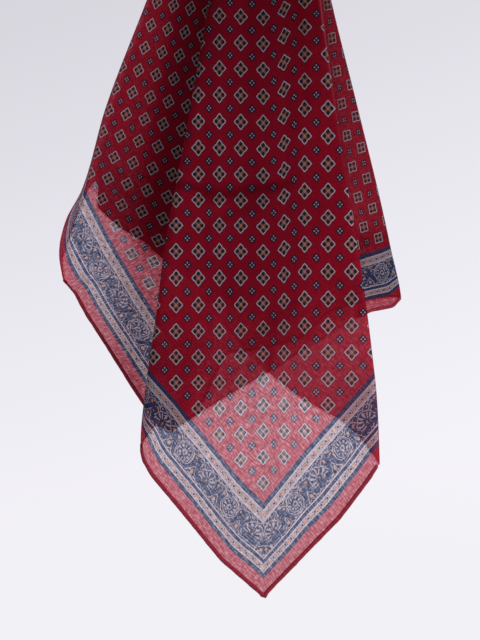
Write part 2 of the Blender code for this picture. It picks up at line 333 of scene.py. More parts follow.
def softLeast(first, second, blend):
    least = min(first, second)
    total = math.exp((least - first) / blend) + math.exp((least - second) / blend)
    return least - blend * math.log(total)


def frontThreads(across, drop):
    difference = straightThrough(threads["difference"], across)
    lift = smoothThrough(threads["liftRight"], drop) * easeIn(across / 27 + 0.1)
    lift += smoothThrough(threads["liftLeft"], drop) * easeIn(-across / 27)
    total = straightThrough(threads["sum"], drop + lift)
    inFromFold = max(0.0, across - foldAt("leftOfFront", drop))
    above = max(0.0, threads["frontCurlEnd"] - drop)
    curl = threads["frontCurlEdge"] + threads["frontCurl"] * inFromFold
    curl += 0.03 * above + 0.0012 * above**2
    return softLeast(0.5 * (total + difference), curl, 0.1), 0.5 * (total - difference)


def countAt(key, across, drop, straightFrom=math.inf):
    c = threads[key]
    d = drop / 100
    x = min(across / 100, straightFrom)
    count = c[0] + c[1] * d + c[2] * d * d + c[3] * x + c[4] * x * d + c[5] * x * x
    return count + (c[3] + c[4] * d + 2 * c[5] * x) * (across / 100 - x)


def rearThreads(across, drop):
    fromSide = countAt("rearFromSide", across, drop, threads["rearReach"])
    inFromFold = max(0.0, across - foldAt("leftOutline", drop))
    above = max(0.0, threads["curlEnd"] - drop)
    rise = threads["curl"] + threads["curlMore"] * above + 0.0015 * max(0.0, above - 20) ** 2
    fromHem = softLeast(fromSide, threads["curlEdge"] + rise * inFromFold, 0.12)
    return countAt("rearFromHem", across, drop, threads["rearReach"]), clothRepeats - fromHem


def rawThreads(stretch, across, drop, share):
    name = stretch["name"]
    if name == "front":
        return frontThreads(across, drop)
    if name == "right":
        return countAt("rightFromHem", across, drop), countAt("rightFromSide", across, drop)
    if name == "rear":
        return rearThreads(across, drop)
    if name == "leftReturn":
        fromEdge = (sideAt(stretch, 1, drop) - across) / repeat
        fromHem = (hemDrop(stretch, share) - drop) / repeat
        return clothRepeats - fromEdge, clothRepeats - fromHem
    # the two inner stretches carry the front fall's threads on round their folds
    if name == "innerReturn":
        across = 2 * sideAt(stretch, 0, drop) - across
    return frontThreads(2 * foldAt("rightOfFront", drop) - across, drop)


def hemError(stretch):
    # what the raw counts read along the hem, where one of them has to be nought
    found = {"first": [], "second": [], "far": []}
    name = stretch["name"]
    for step in range(121):
        share = step / 120
        drop = hemDrop(stretch, share)
        first, second = rawThreads(stretch, acrossAt(stretch, share, drop), drop, share)
        if name == "right" or name == "front" and share < 0.52 or name == "rear" and share > 0.298:
            found["first"].append((second, first))
        elif name == "rear":
            found["far"].append((first, clothRepeats - second))
        elif name != "leftReturn":
            found["second"].append((first, second))
    return {key: sorted(rows) for key, rows in found.items()}


def settle(count, rows, other):
    # near a hem the count is stretched so that it is nought on the hem itself
    reach = threads["borderReach"]
    if count >= reach or len(rows) < 2:
        return count
    other = min(rows[-1][0], max(rows[0][0], other))
    error = min(3.0, straightThrough(rows, other))
    return (count - error) * reach / (reach - error)


def threadCounts(stretch, share, drop, errors):
    across = acrossAt(stretch, share, drop)
    first, second = rawThreads(stretch, across, drop, share)
    firstOut = settle(first, errors["first"], second)
    secondOut = settle(second, errors["second"], first)
    if errors["far"] and second > 0.5 * clothRepeats:
        secondOut = clothRepeats - settle(clothRepeats - second, errors["far"], first)
    if stretch["name"] == "innerReturn":
        fromEdge = (sideAt(stretch, 1, drop) - across) / repeat
        if fromEdge < threads["borderReach"]:
            firstOut = clothRepeats - fromEdge
    return firstOut, secondOut


def columnShares(stretch):
    shares = []
    for column in range(stretch["columns"] + 1):
        even = column / stretch["columns"]
        spread = 0.5 - 0.5 * math.cos(math.pi * even)
        mixed = 0.45 * even + 0.55 * spread
        shares.append(stretch["run"][0] + mixed * (stretch["run"][1] - stretch["run"][0]))
    return shares


def addPiece(name, bm):
    mesh = bpy.data.meshes.new(name)
    bm.to_mesh(mesh)
    bm.free()
    mesh.shade_smooth()
    return placeObject(name, mesh)


def makeFall():
    total = sum(stretch["columns"] for stretch in stretches)
    bm = bmesh.new()
    counts = bm.loops.layers.uv.new("threads")
    layers = [bm.verts.layers.float.new(name) for name, rule in looks]
    bmesh.ops.create_grid(bm, x_segments=total, y_segments=fall["rows"], size=0.5)
    grid = {}
    for vert in bm.verts:
        grid[round((vert.co.x + 0.5) * total), round((0.5 - vert.co.y) * fall["rows"])] = vert
    place = {}
    ends = []
    start = 0
    for stretch in stretches:
        errors = hemError(stretch)
        for k, share in enumerate(columnShares(stretch)):
            edge, along, out = hemFrame(stretch, share)
            bottom = hemDrop(stretch, share)
            for row in range(fall["rows"] + 1):
                downShare = row / fall["rows"]
                drop = fall["neckDrop"] + downShare * (bottom - fall["neckDrop"])
                vert = grid[start + k, row]
                if k or not start:
                    vert.co = clothPoint(stretch, share, drop)
                    vert.co -= out * fall["rollRadius"] * mm * downShare**30
                    for layer, (name, rule) in zip(layers, looks):
                        vert[layer] = rule(stretch, share, vert.co.x / mm, drop)
                place[stretch["name"], start + k, row] = threadCounts(stretch, share, drop, errors)
        ends.append((start, start + stretch["columns"], stretch["name"]))
        start += stretch["columns"]
    where = {vert: key for key, vert in grid.items()}
    for face in bm.faces:
        middle = sum(where[loop.vert][0] for loop in face.loops) / 4
        name = next(n for low, high, n in ends if low <= middle <= high)
        for loop in face.loops:
            loop[counts].uv = place[name, where[loop.vert][0], where[loop.vert][1]]
    return addPiece("scarfCloth", bm)


def past(fold, across, drop, lead, soft):
    # from 0 to 1 over a fold line, beginning this many mm before it
    return easeIn((across - foldAt(fold, drop) + lead) / soft)


def hiddenShare(stretch, share, across, drop):
    # 1 where another fall lies in front of this one
    name = stretch["name"]
    if name == "front":
        return 0.0
    if name in ("inner", "innerReturn", "leftReturn"):
        return 1.0
    if name == "right":
        return easeIn((foldAt("rightOfFront", drop) + 1 - across) / 6)
    left = past("leftOfFront", across, drop, -2, 8)
    # behind the right fall only the two borders show, one on the other
    right = past("rightOfFront", across, drop, 1, 6)
    return left * (1 - right * easeIn((drop - 427) / 5))


# how many more cloths' worth of thread the light crosses here
thickness = {
    "front": 0.35,
    "inner": 0.2,
    "innerReturn": 0.6,
    "right": 0.12,
    "rightBorder": 0.5,
    "rear": 0.4,
    "rearBehindRight": 0.9,  # and this share more there
    "leftReturn": 1.0,
    "outline": -0.1,
    "slantedWing": 0.4,
    "foldShadow": 2.4,  # painted shade where the left wing runs in behind the front fall, creased and doubled
    "nearHem": 0.7,  # how much thinner a covered fall looks down at its hem
    "nearHemReach": 75.0,  # mm
}


def coveredShare(stretch, share, across, drop):
    # 1 where a fall is covered from the front and from behind
    if stretch["name"] == "leftReturn":
        return 0.0
    if stretch["name"] == "rear":
        return 0.5 * past("rightOfFront", across, drop, 1, 6)
    return hiddenShare(stretch, share, across, drop)


# the covered hems that no edge shows of, blurred away through the cloth before them: share of the
# way across where each begins and ends
blurredHems = {"rear": (0.34, 0.84), "right": (0.45, 2), "inner": (-1, 0.38), "innerReturn": (-1, 2)}


def nearHemShare(stretch, share, drop):
    start, end = blurredHems.get(stretch["name"], (2, 2))
    side = easeIn((share - start) / 0.04) * easeIn((end - share) / 0.04)
    return side * (1 - easeIn((hemDrop(stretch, share) - drop) / thickness["nearHemReach"]))


def extraThickness(stretch, share, across, drop):
    name = stretch["name"]
    behind = hiddenShare(stretch, share, across, drop)
    if name == "front":
        # where the right fall hangs behind it
        fold = foldAt("leftOfFront", drop)
        over = (across - fold) / (foldAt("rightOutline", drop) - fold)
        return thickness["front"] * easeIn((straightThrough(hems["right"], over) - drop) / 14)
    hem = thickness["nearHem"] * nearHemShare(stretch, share, drop) * behind
    if name == "right":
        border = thickness["rightBorder"] * (1 - behind) * easeIn((drop - 412) / 12)
        return thickness["right"] * behind - hem + border
    if name == "leftReturn":
        low = easeIn((drop - 372) / 16)
        outline = thickness["outline"] * low * easeIn((0.06 - share) / 0.04)
        return thickness[name] * easeIn((share - 0.03 * low) / 0.07) + outline
    if name != "rear":
        return thickness[name] * (1 - hem) - hem
    # painted shade on the left wing beside the front fall's left fold, as extra thickness that lets less
    # light through
    foldShade = past("leftOfFront", across, drop, 34, 26) * easeIn((445 - drop) / 40)
    foldShade *= 1 - past("leftOfFront", across, drop, -3, 5)
    right = 1 + thickness["rearBehindRight"] * past("rightOfFront", across, drop, 5, 6)
    slanted = thickness["slantedWing"] * (0.3 + past("leftOfFront", across, drop, 50, 40))
    total = slanted * (1 - behind) + thickness["rear"] * right * behind
    return total * (1 - hem) - hem + thickness["foldShadow"] * foldShade


# how much of the light reaches the cloth
lightShare = {
    # below the gathers: mm below the hold, and the share that they leave
    "open": [
        (0, 0.35), (150, 0.45), (270, 0.63), (330, 0.83), (395, 0.99), (440, 1.03), (520, 1.03), (700, 1.04),
    ],
    "rearShift": 100.0,  # the rear layer gets it this much higher up, mm
    "unseen": 0.9,
    "frontHollow": (0.47, 0.17, 0.14),  # share of the way across, half width, loss
    "frontFolds": (0.013, 0.45),  # half width, gain
    "outline": 0.9,  # gain where the rear layer turns at the left outline
    "right": (0.82, 0.14),  # and the gain at its hem
    "tuck": (4.6, 1.3, 0.5),  # mm right of the front fall, half width, loss
}
# painted highlights: thin lines of light painted on the sharp folds of the front: strength, and how far down
# they reach, in mm
foldHighlights = {"left": (0.5, 330), "right": (0.8, 400), "halfWidth": 0.9, "fade": 160.0}


def bell(offset, half):
    return math.exp(-((offset / half) ** 2))


def shadeShare(stretch, share, beside, drop):
    name = stretch["name"]
    if name not in ("front", "right", "rear"):
        return lightShare["unseen"]
    across = acrossAt(stretch, share, drop)
    level = smoothThrough(lightShare["open"], drop + lightShare["rearShift"] if name == "rear" else drop)
    crease = creaseDepth(name, across, drop, sharpCrease["narrowing"], onlySharp=True)
    level *= 1 - sharpCrease["loss"] * min(1.0, crease)
    if name == "front":
        middle, half, loss = lightShare["frontHollow"]
        level *= 1 - loss * bell(share - middle, half)
        half, gain = lightShare["frontFolds"]
        level *= 1 + gain * bell(share * (1 - share), half)
    if name == "rear":
        turned = 1 - easeIn((share - 0.008) / 0.02)
        level *= 1 + lightShare["outline"] * turned * easeIn((drop - 372) / 16)
    if name == "right":
        start, gain = lightShare["right"]
        level *= start + gain * easeIn((drop - 425) / 20)
        place, half, loss = lightShare["tuck"]
        tuck = bell(across - foldAt("rightOfFront", drop) - place, half)
        level *= 1 - loss * easeIn((450 - drop) / 30) * tuck
    return level


# painted highlight: a pale line along each sharp fold of the front fall
def foldHighlightShare(stretch, share, across, drop):
    if stretch["name"] != "front":
        return 0.0
    width = sideAt(stretch, 1, drop) - sideAt(stretch, 0, drop)
    total = 0.0
    for side, fromFold in (("right", (1 - share) * width), ("left", share * width)):
        strength, low = foldHighlights[side]
        line = bell(fromFold, foldHighlights["halfWidth"]) * easeIn((low - drop) / foldHighlights["fade"])
        total += strength * line
    return total


# the attributes of the cloth, and what each is read from
looks = [
    ("hidden", hiddenShare), ("thick", extraThickness), ("shade", shadeShare), ("covered", coveredShare),
    ("foldHighlight", foldHighlightShare),
]
scarfCloth = makeFall()
print("cloth hung:", len(scarfCloth.data.polygons), "faces")


# the rolled hem, all along the lower edge and up both free edges
hemRoll = {
    "sides": 10,
    "uneven": 0.16,  # share of the radius by which the roll swells and thins
    "flat": 0.6,  # its depth against its height
    "stitchStep": 2.6,
}
rollSwell = {"front": 1.3, "right": 1.1, "rear": 1.2}  # the roll is fuller where it hangs in sight
# how far a covered roll melts into the cloth before it
rollCover = {"rear": 0.85, "rearEnd": 0.97, "rearEndShare": 0.85}


def freeEdge(stretch, rows):
    path = []
    for row in rows:
        drop = fall["neckDrop"] + row / fall["rows"] * (hemDrop(stretch, 1) - fall["neckDrop"])
        path.append((clothPoint(stretch, 1, drop), Vector((1, 0, 0)), 1.0, fall["rollRadius"] * mm))
    return path


def hemPath():
    # each step: place, way out of the cloth, cover, radius
    path = freeEdge(stretches[0], range(0, fall["rows"], 2))
    for stretch in stretches:
        name = stretch["name"]
        radius = fall["rollRadius"] * rollSwell.get(name, 1.0) * mm
        for share in columnShares(stretch)[1:-1]:
            here, along, out = hemFrame(stretch, share)
            cover = hiddenShare(stretch, share, here.x / mm, -here.z / mm) * rollCover.get(name, 1.0)
            if name == "rear" and share > rollCover["rearEndShare"]:
                cover = rollCover["rearEnd"]
            path.append((here - out * radius, out, cover, radius))
    return path + freeEdge(stretches[-1], range(fall["rows"] - 1, 0, -2))


def makeHem():
    path = hemPath()
    spots = [step[0] for step in path]
    lengths = [0.0]
    for a, b in zip(spots, spots[1:]):
        lengths.append(lengths[-1] + (b - a).length)
    steps = len(path) * 2
    bm = bmesh.new()
    roll = bm.loops.layers.uv.new("roll")
    hidden = bm.verts.layers.float.new("hidden")
    bmesh.ops.create_grid(bm, x_segments=steps, y_segments=hemRoll["sides"], size=0.5)
    for face in bm.faces:
        for loop in face.loops:
            loop[roll].uv = ((loop.vert.co.x + 0.5) * lengths[-1] / mm, loop.vert.co.y + 0.5)
    k = 0
    frames = []
    for step in range(steps + 1):
        length = step / steps * lengths[-1]
        while k < len(lengths) - 2 and lengths[k + 1] < length:
            k += 1
        share = (length - lengths[k]) / max(1e-9, lengths[k + 1] - lengths[k])
        here = spots[k].lerp(spots[k + 1], share)
        out = path[k][1].lerp(path[k + 1][1], share)
        along = (spots[min(len(spots) - 1, k + 2)] - spots[max(0, k - 1)]).normalized()
        out = (out - out.dot(along) * along).normalized()
        frames.append((here, out, along.cross(out), length, path[k][2], path[k][3]))
    for vert in bm.verts:
        here, out, side, length, vert[hidden], radius = frames[round((vert.co.x + 0.5) * steps)]
        angle = (vert.co.y + 0.5) * 2 * math.pi
        swell = noise.noise(Vector((length / 0.006, 3.0, 0)))
        swell += 0.6 * noise.noise(Vector((length / 0.0021, 7.0, 0)))
        radius *= 1 + hemRoll["uneven"] * swell
        vert.co = here + radius * (math.cos(angle) * out + hemRoll["flat"] * math.sin(angle) * side)
    bmesh.ops.remove_doubles(bm, verts=bm.verts, dist=1e-6)
    caps = [edge for edge in bm.edges if edge.is_boundary]
    bmesh.ops.holes_fill(bm, edges=caps, sides=40)
    bmesh.ops.recalc_face_normals(bm, faces=bm.faces)
    return addPiece("rolledHem", bm)


rolledHem = makeHem()
print("hem rolled:", len(rolledHem.data.polygons), "faces")


# the neck and the gathered corner above it: height, half width, half depth, pleat, lean, in mm
corner = {
    "rings": [
        (-2.7, 10.5, 6.8, 0.6, 0), (3, 9.2, 7.2, 0.8, 0), (9, 9.4, 7.6, 1, 0), (17, 12.5, 9.2, 1.6, 0.6),
        (28, 18, 12, 2.6, 2), (40, 23, 14.5, 3.6, 4.5), (52, 26, 16, 4.4, 8),
    ],
    "points": 360,
    "rows": 64,
    "pleats": 9,
    "rise": 16.0,  # how far its free tip stands up, and at which angle and over what half angle
    "riseAt": (0.5, 0.9),
    "printStart": 16.0,  # repeats along the cloth's edge where its print starts, and round it
    "printRound": 14.0,
    "shade": 0.75,
}


def cornerRise(angle):
    place, half = corner["riseAt"]
    return corner["rise"] * math.exp(-(((angle - place) / half) ** 2))


def makeCorner():
    bm = bmesh.new()
    bmesh.ops.create_cone(bm, cap_ends=False, segments=corner["points"], radius1=1, radius2=1, depth=1)
    uprights = [e for e in bm.edges if abs(e.verts[0].co.z - e.verts[1].co.z) > 0.5]
    bmesh.ops.subdivide_edges(bm, edges=uprights, cuts=corner["rows"] - 1, use_grid_fill=True)
    counts = bm.loops.layers.uv.new("threads")
    shade = bm.verts.layers.float.new("shade")
    bottom = corner["rings"][0][0]
    top = corner["rings"][-1][0]
    for face in bm.faces:
        angles = [math.atan2(loop.vert.co.y, loop.vert.co.x) for loop in face.loops]
        for loop, angle in zip(face.loops, angles):
            if max(angles) - min(angles) > math.pi and angle < 0:
                angle += 2 * math.pi
            share = loop.vert.co.z + 0.5
            tall = top - bottom + cornerRise(angle)
            along = corner["printStart"] + corner["printRound"] * angle / (2 * math.pi)
            loop[counts].uv = (along, clothRepeats - (1 - share) * tall / repeat)
    for vert in bm.verts:
        share = vert.co.z + 0.5
        angle = math.atan2(vert.co.y, vert.co.x)
        height = bottom + share * (top - bottom)
        pleat = smoothThrough(corner["rings"], height, 3)
        wave = pleat * math.sin(corner["pleats"] * angle + 0.4) + 0.35 * pleat * math.sin(4 * angle + 1.1)
        wave += 0.3 * pleat * noise.noise(Vector((3 * math.cos(angle), 3 * math.sin(angle), height / 14)))
        wave += 0.18 * pleat * math.sin(27 * angle + 0.1 * height)
        wide = smoothThrough(corner["rings"], height, 1) + wave
        deep = smoothThrough(corner["rings"], height, 2) + wave
        lean = smoothThrough(corner["rings"], height, 4)
        rise = share**3 * cornerRise(angle)
        vert[shade] = corner["shade"]
        vert.co = Vector((wide * math.cos(angle) + lean, deep * math.sin(angle), height + rise)) * mm
    bmesh.ops.recalc_face_normals(bm, faces=bm.faces)
    return addPiece("gatheredCorner", bm)


gatheredCorner = makeCorner()
print("corner gathered:", len(gatheredCorner.data.polygons), "faces")


def put(tree, kind, **settings):
    node = tree.nodes.new("ShaderNode" + kind)
    for key, value in settings.items():
        setattr(node, key, value)
    return node


def feed(node, inputs):
    # each input by its number or name: a fixed number or colour, or what another node gives
    for key, value in inputs.items():
        if isinstance(value, Value):
            value.tree.links.new(value.socket, node.inputs[key])
        else:
            node.inputs[key].default_value = value
    return Value(node.outputs[0]) if node.outputs else None


class Value:
    # what a node gives, so that the sums of the print are written as sums; & is both of two masks,
    # and | either of them or the larger of two numbers
    def __init__(self, socket):
        self.socket = socket
        self.tree = socket.id_data

    def then(self, operation, *others, clamp=False):
        node = put(self.tree, "Math", operation=operation, use_clamp=clamp)
        return feed(node, dict(enumerate((self, *others))))

    def scaled(self, factor, more, **settings):
        return self.then("MULTIPLY_ADD", factor, more, **settings)

    def __rsub__(self, other):
        return self.scaled(-1.0, other)


for method, operation in (
    ("add", "ADD"), ("sub", "SUBTRACT"), ("mul", "MULTIPLY"), ("truediv", "DIVIDE"), ("abs", "ABSOLUTE"),
    ("lt", "LESS_THAN"), ("gt", "GREATER_THAN"), ("and", "MULTIPLY"), ("or", "MAXIMUM"),
):
    setattr(Value, "__" + method + "__", functools.partialmethod(Value.then, operation))


def choose(mask, otherwise, wanted):
    # wanted where the mask is 1, otherwise where it is 0
    return feed(put(mask.tree, "Mix", data_type="FLOAT"), {0: mask, 2: otherwise, 3: wanted})


def blend(tree, mode, factor, first, second):
    node = put(tree, "Mix", data_type="RGBA", blend_type=mode)
    feed(node, {0: factor, 6: first, 7: second})
    return Value(node.outputs[2])


def ramp(value, stops, interpolation="CONSTANT"):
    # each stop is a place from 0 to 1 and a colour or a number
    node = put(value.tree, "ValToRGB")
    elements = node.color_ramp.elements
    node.color_ramp.interpolation = interpolation
    while len(elements) < len(stops):
        elements.new(0.5)
    for element, (place, colour) in zip(elements, stops):
        element.position = place
        element.color = (*colour, 1) if isinstance(colour, tuple) else (colour, colour, colour, 1)
    return feed(node, {0: value})


def parts(value, kind="SeparateXYZ"):
    node = put(value.tree, kind)
    feed(node, {0: value})
    return [Value(socket) for socket in node.outputs]


def joined(*values, kind="CombineXYZ"):
    return feed(put(values[0].tree, kind), dict(enumerate(values)))


def clouds(where, scale, detail, output="Fac"):
    node = put(where.tree, "TexNoise", noise_dimensions="2D")
    feed(node, {"Vector": where, "Scale": scale, "Detail": detail})
    return Value(node.outputs[output])


def uvMap(tree, name):
    return feed(put(tree, "UVMap", uv_map=name), {})


def attribute(tree, name):
    return Value(put(tree, "Attribute", attribute_name=name).outputs["Fac"])


def within(value, middle, half):
    # 1 where the value is less than half away from the middle
    return value.then("COMPARE", middle, half)


def reach(x, y):
    return x.scaled(x, y * y).then("SQRT")


# the inks of the print: what each lets through, and what it sends back
inks = {
    "ground": ((0.380, 0.120, 0.147), (0.115, 0.0028, 0.0094)),
    "pale": ((0.395, 0.312, 0.325), (0.212, 0.192, 0.220)),
    "navy": ((0.060, 0.072, 0.126), (0.013, 0.018, 0.045)),
    "orange": ((0.350, 0.240, 0.195), (0.200, 0.092, 0.052)),
    "olive": ((0.260, 0.178, 0.168), (0.105, 0.056, 0.041)),
    "line": ((0.147, 0.040, 0.072), (0.022, 0.003, 0.008)),
    "lilac": ((0.310, 0.242, 0.256), (0.162, 0.144, 0.166)),
    "night": ((0.083, 0.099, 0.153), (0.0075, 0.0080, 0.020)),
}
ink = {name: float(number) for number, name in enumerate(inks)}

# bands of the border: from here outwards, in repeats from the hem
bands = [
    (0.0, "ground"), (0.77, "navy"), (1.01, "pale"), (1.06, "lilac"), (1.33, "pale"), (1.38, "navy"),
    (1.57, "pale"), (1.63, "navy"), (3.00, "pale"), (3.06, "lilac"), (3.44, "pale"), (3.50, "navy"),
    (3.76, "ground"),
]
# the sizes of the figures, in repeats
field = {
    "large": 0.329,  # large figure: half its side
    "rim": 0.054,  # width of its pale rim
    "largeLine": 0.03,  # and of the thin line round it
    "notch": 0.07,
    "tipFrom": 0.60,
    "cut": 0.4,
    "eyePlace": 0.158,
    "eye": 0.106,
    "heart": 0.080,
    "small": 0.184,
    "smallLine": 0.02,
    "smallEyePlace": 0.080,
    "smallEye": 0.048,
    "clearance": 4.0,  # the outermost figures stand clear of the border
}
# along and across a bead band, each mark: place and half width along, place and half height across
beadBand = {
    "middles": (1.195, 3.25),
    "half": 0.13,
    "lilacHalf": 0.082,
    "step": 0.53,
    "bead": 0.092,
    "tick": ((0.135, 0.022), (0.075, 0.04)),
    "grey": ((0.235, 0.03), (0.0, 0.055)),
}
# on the broad band; each ring has a radius and half its width
broadBand = {
    "step": 2.1,
    "middle": 2.32,
    "extent": (2.315, 0.675),
    "wobble": 0.2,
    "wobbleScale": 2.6,
    "roundelRims": ((0.545, 0.028), (0.44, 0.020), (0.125, 0.03)),
    "roundelBeads": (0.30, 0.065, 11.0, 0.15),  # and the beads' number, and how far apart
    "fanPlace": 0.2,
    "petals": (0.43, 0.17, 13.0, 0.25),
    "petalFoot": -0.12,
    "arch": (0.68, 0.026),
    "archFoot": 0.05,
    "twigs": ((0.05, 0.585, 0.022), (0.045, -0.60, 0.02)),  # swing, place, half width
    "speckScale": 7.0,
    "leafFrom": 0.70,
    "wornBelow": 0.30,
}


def layered(under, *marks):
    # the marks printed one over the other
    for mask, name in marks:
        under = choose(mask, under, ink[name])
    return under


def fieldInk(a, b):
    x = abs(a.then("FRACT") - 0.5)
    y = abs(b.then("FRACT") - 0.5)
    odd = (a.then("FLOOR") + b.then("FLOOR")).then("PINGPONG", 1.0) > 0.5
    side = x | y
    # the large figure's sides are notched in the middle and its corners cut
    notch = (field["notch"] - x.then("MINIMUM", y)) | 0.0
    tip = (x + y - field["tipFrom"]) | 0.0
    edge = (notch + tip).scaled(field["cut"], side)
    eye = reach(x - field["eyePlace"], y - field["eyePlace"])
    smallEye = reach(x - field["smallEyePlace"], y - field["smallEyePlace"])
    large = layered(
        ink["ground"], (edge < field["large"] + field["largeLine"], "line"), (edge < field["large"], "pale"),
        (edge < field["large"] - field["rim"], "olive"), (eye < field["eye"], "night"),
        (reach(x, y) < field["heart"], "orange"),
    )
    small = layered(
        ink["ground"], (side < field["small"] + field["smallLine"], "line"),
        (side < field["small"], "night"), (smallEye < field["smallEye"], "lilac"),
    )
    half = 0.5 * clothRepeats
    far = abs(a - half) | abs(b - half)
    return choose(far > half - field["clearance"], choose(odd, large, small), ink["ground"])


def beads(under, along, across, middle):
    # orange beads between dark ticks, on one of the two cream bands
    x = ((along / beadBand["step"]).then("FRACT") - 0.5) * beadBand["step"]
    y = across - middle
    under = choose(abs(y) < beadBand["lilacHalf"], under, ink["lilac"])
    for mark, name in (("tick", "line"), ("grey", "navy")):
        alongBand, acrossBand = beadBand[mark]
        under = choose(within(abs(x), *alongBand) & within(abs(y), *acrossBand), under, ink[name])
    return choose(reach(x, y) < beadBand["bead"], under, ink["orange"])


def figures(under, along, across):
    # a fan and a roundel by turns on the broad navy band, with scrolls between them
    band = broadBand
    inBand = within(across, *band["extent"])
    wobble = clouds(joined(along, across), band["wobbleScale"], 1.0, "Color")
    alongMove, acrossMove = parts(wobble, "SeparateColor")[:2]
    along = (alongMove - 0.5).scaled(band["wobble"], along)
    across = (acrossMove - 0.5).scaled(band["wobble"], across)
    run = along / band["step"]
    x = (run.then("FRACT") - 0.5) * band["step"]
    y = across - band["middle"]
    odd = run.then("FLOOR").then("PINGPONG", 1.0) > 0.5

    # roundel: a double rim, a ring of beads and a small flower
    far = reach(x * 0.88, y)
    radius, half, number, apart = band["roundelBeads"]
    beadRays = (y.then("ARCTAN2", x) * number).then("COSINE") > apart
    roundel = within(far, radius, half) & beadRays
    for radius, half in band["roundelRims"]:
        roundel = roundel | within(far, radius, half)

    # fan: petals that open away from the hem, under an arch
    lower = y + band["fanPlace"]
    fanFar = reach(x, lower)
    radius, half, number, apart = band["petals"]
    petalRays = (lower.then("ARCTAN2", x) * number).then("COSINE") > apart
    petals = within(fanFar, radius, half) & petalRays & (lower > band["petalFoot"])
    fan = petals | (within(fanFar, *band["arch"]) & (lower > band["archFoot"]))
    marks = choose(odd, roundel, fan)

    # between them: a small peak standing on the outer edge, and wavy stems
    gap = 0.5 * band["step"] - abs(x)
    peak = within(gap.scaled(1.45, y), -0.08, 0.035) & (gap < 0.4)
    wave = (x * (2 * math.pi / band["step"])).then("COSINE")
    stem = within(wave.scaled(0.22, y - 0.33), 0.0, 0.026) & (gap < 0.62)
    marks = marks | stem | peak
    ripple = (along * 14.0).then("SINE")
    for swing, place, half in band["twigs"]:
        marks = marks | within(ripple.scaled(swing, y), place, half)
    speck = clouds(joined(along, across), band["speckScale"], 1.0)
    marks = (marks & (speck > band["wornBelow"])) | (speck > band["leafFrom"])
    found = choose(marks, under, ink["lilac"])

    # orange flowers beside the peak, inside it, and at the heart of each figure
    bloom = reach(gap - 0.27, y - 0.30) < 0.075
    seed = reach(gap, y + 0.42) < 0.095
    heart = reach(x, y + 0.12) < 0.06
    found = layered(found, (bloom | seed | heart, "orange"))
    return choose(inBand, under, found)


def borderInk(a, b):
    # both counts folded about the middle of the cloth, so that the border has mitred corners
    half = 0.5 * clothRepeats
    a = half - abs(a - half)
    b = half - abs(b - half)
    across = a.then("MINIMUM", b)
    along = a | b
    widest = 4.0
    stops = [(place / widest, ink[name] / len(inks)) for place, name in bands]
    band = ramp(across.then("DIVIDE", widest, clamp=True), stops) * len(inks)
    band = figures(band, along, across)
    for middle in beadBand["middles"]:
        close = within(across, middle, beadBand["half"])
        band = choose(close, band, beads(band, along, across, middle))
    return band, across < bands[-1][0]


# thread noise and finish of the printed cotton, and the colour of the highlight painted along the front's
# folds
weave = {
    "slubLong": 2.6,  # noise along and across a thread, per repeat
    "slubFine": 14.0,
    "throughDepth": 0.7,
    "gap": 0.07,  # share of open gaps between the threads, and how unevenly they lie
    "gapDepth": 0.62,
    "gapTint": (0.93, 0.87, 0.89, 1),
    "hazeScale": 0.28,
    "hazeThrough": 0.15,
    "hazeBack": 0.35,
    "backDepth": 0.12,
    "hiddenPlain": 0.85,  # how far the print of a hidden or covered fall is lost
    "coveredPlain": 0.9,
    "lampShare": 0.6,
    "opaque": 0.4,
    # the colour of the painted highlight on the front's folds
    "foldHighlight": (0.33, 0.07, 0.10, 1),
    "roughness": 0.92,
    "sheen": 0.015,
    "sheenTint": (0.9, 0.35, 0.42, 1),
    "bump": 0.1,
}


def slub(threadMap, scaleA, scaleB):
    stretched = put(threadMap.tree, "Mapping")
    return clouds(feed(stretched, {"Vector": threadMap, "Scale": (scaleA, scaleB, 1)}), 1.0, 3.0) - 0.5


def newMaterial(name):
    material = bpy.data.materials.new(name)
    material.use_nodes = True
    return material, material.node_tree


def bumped(height, strength, distance, **settings):
    node = put(height.tree, "Bump", **settings)
    return feed(node, {"Height": height, "Strength": strength, "Distance": distance})


def mixWithClear(tree, shader, through, share, clearLast=0):
    # the share is the second shader's: the opaque one's, or the clear one's if that comes last
    clear = feed(put(tree, "BsdfTransparent"), {"Color": through})
    opaque = Value(shader.outputs[0])
    mixed = feed(put(tree, "MixShader"), {0: share, 1 + clearLast: clear, 2 - clearLast: opaque})
    feed(tree.nodes["Material Output"], {"Surface": mixed})


